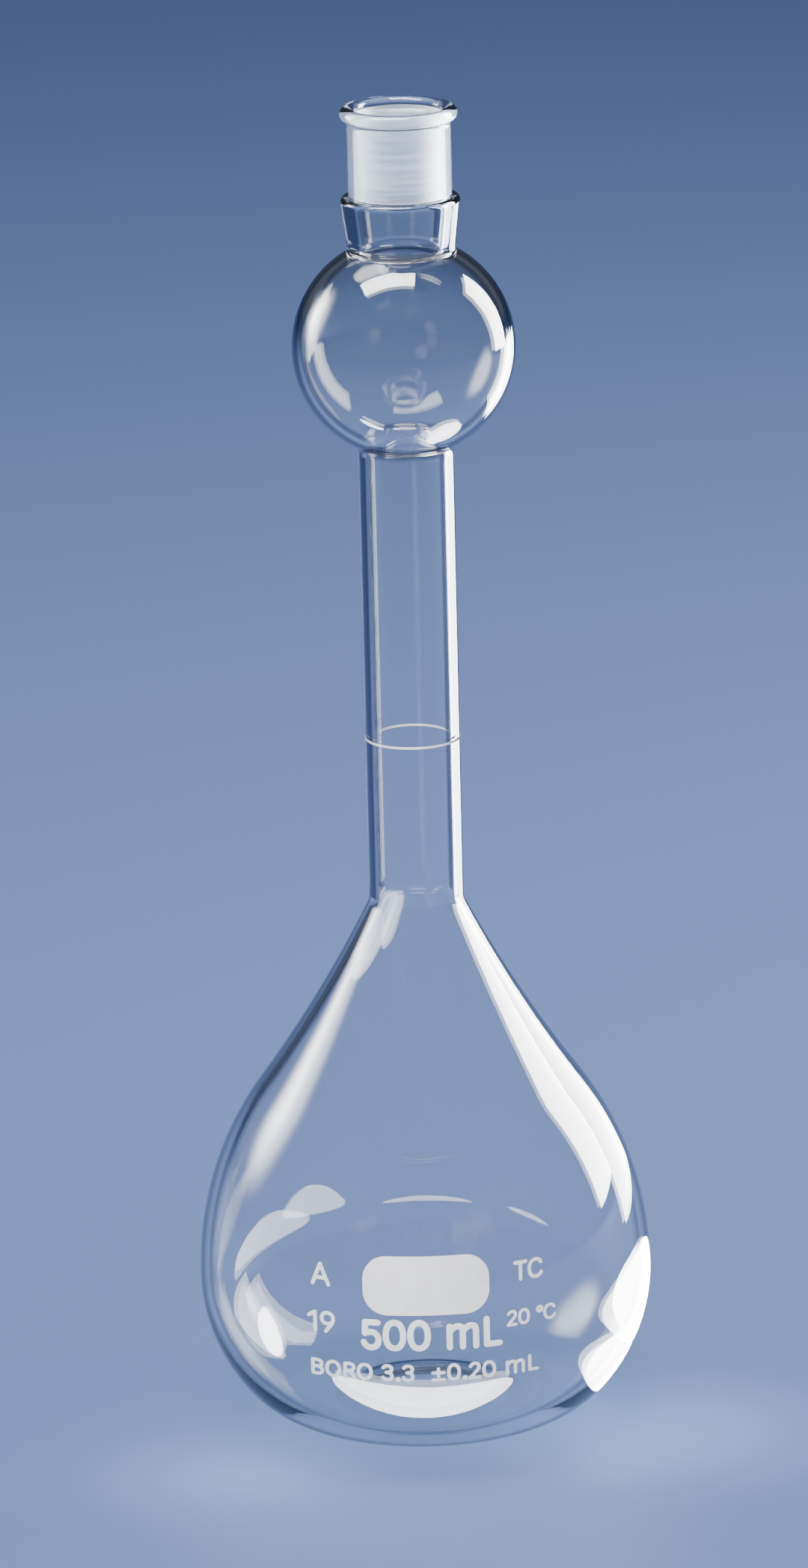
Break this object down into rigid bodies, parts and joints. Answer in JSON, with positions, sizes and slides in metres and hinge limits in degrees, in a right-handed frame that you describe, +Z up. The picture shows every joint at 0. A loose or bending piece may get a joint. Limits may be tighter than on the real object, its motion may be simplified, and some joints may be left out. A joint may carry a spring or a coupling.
{
  "type": "volumetric flask",
  "caption": "Clear glass volumetric flask: pear-shaped body, narrow neck with a graduation ring, spherical mixing bulb and ground taper socket at the mouth.",
  "frame": {"origin": "middle of the foot on the surface the flask stands on", "axes": "+Z up the flask's axis to its mouth; -Y towards the side that carries the marks"},
  "size_m": [0.0998, 0.0999, 0.2949],
  "materials": {
    "clear_glass": "fire-polished clear borosilicate glass",
    "ground_glass": "fine-ground frosted bore under clear outer glass",
    "white_enamel": "matt white enamel fired on the glass"
  },
  "bodies": {
    "root": {"flask_body": "clear_glass", "neck_tube": "clear_glass", "mixing_bulb": "clear_glass", "joint_stem": "clear_glass", "ground_socket": "ground_glass", "graduation_line": "white_enamel", "marking_spot": "white_enamel", "capacity_mark": "white_enamel", "tolerance_mark": "white_enamel", "class_mark": "white_enamel", "socket_size_mark": "white_enamel", "calibration_mark": "white_enamel"}
  },
  "joints": []
}
